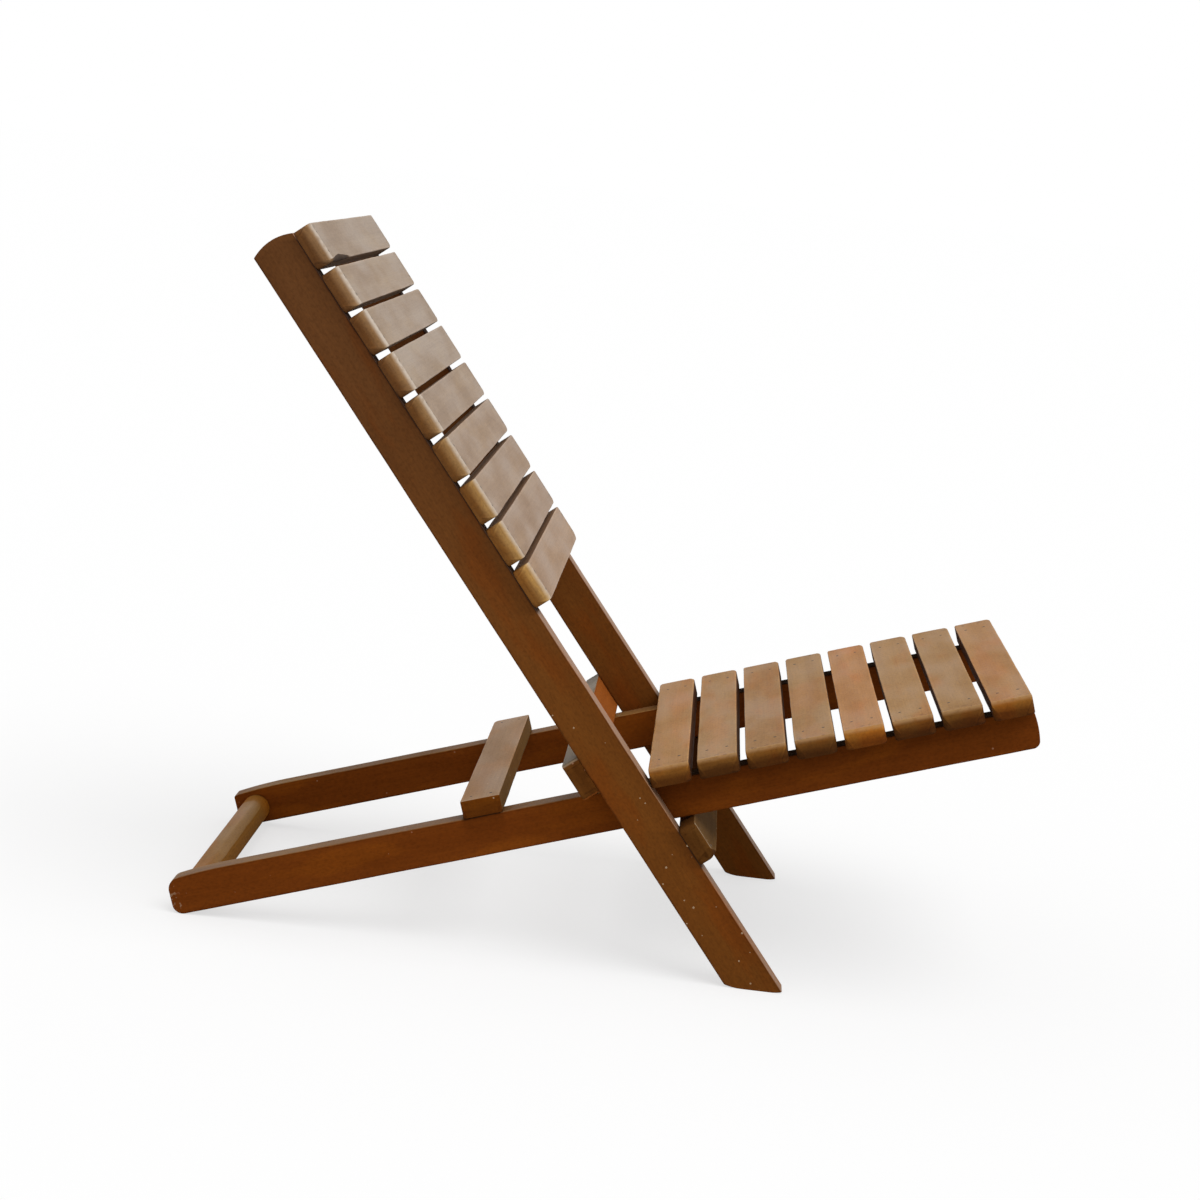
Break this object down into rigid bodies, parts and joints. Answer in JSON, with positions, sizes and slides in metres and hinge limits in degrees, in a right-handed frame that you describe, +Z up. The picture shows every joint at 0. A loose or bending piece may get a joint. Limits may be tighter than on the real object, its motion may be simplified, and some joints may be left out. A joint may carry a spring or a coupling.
{
  "type": "deck chair",
  "caption": "Low slatted wooden deck chair: a seat frame whose rails pass through the back frame and lock between its cross bars; the seat swings up for carrying.",
  "frame": {"origin": "centre of the chair's footprint box, on the floor", "axes": "+Z up, -Y the way the sitter faces, +X towards the sitter's left"},
  "size_m": [0.46, 0.939, 0.7785],
  "materials": {
    "frame_wood": "worn satin varnish",
    "slat_wood": "worn satin varnish",
    "handle_wood": "worn satin varnish",
    "nail_steel": "set below the varnish"
  },
  "bodies": {
    "back_frame": {"back_stile_left": "frame_wood", "back_stile_right": "frame_wood", "back_slat_1": "slat_wood", "back_slat_2": "slat_wood", "back_slat_3": "slat_wood", "back_slat_4": "slat_wood", "back_slat_5": "slat_wood", "back_slat_6": "slat_wood", "back_slat_7": "slat_wood", "back_slat_8": "slat_wood", "back_slat_9": "slat_wood", "back_slat_nails": "nail_steel", "rear_cross_bar": "slat_wood", "front_cross_bar": "slat_wood", "cross_bar_nails": "nail_steel"},
    "seat_frame": {"seat_rail_left": "frame_wood", "seat_rail_right": "frame_wood", "seat_slat_1": "slat_wood", "seat_slat_2": "slat_wood", "seat_slat_3": "slat_wood", "seat_slat_4": "slat_wood", "seat_slat_5": "slat_wood", "seat_slat_6": "slat_wood", "seat_slat_7": "slat_wood", "seat_slat_8": "slat_wood", "seat_slat_nails": "nail_steel", "stop_slat": "slat_wood", "stop_slat_nails": "nail_steel", "carry_handle": "handle_wood"}
  },
  "joints": [
    {"name": "seat_swing", "type": "hinge", "parent": "back_frame", "child": "seat_frame", "pos_m": [0, 0.01383, 0.22075], "axis": [-1, 0, 0], "range_deg": [0, 64]}
  ]
}
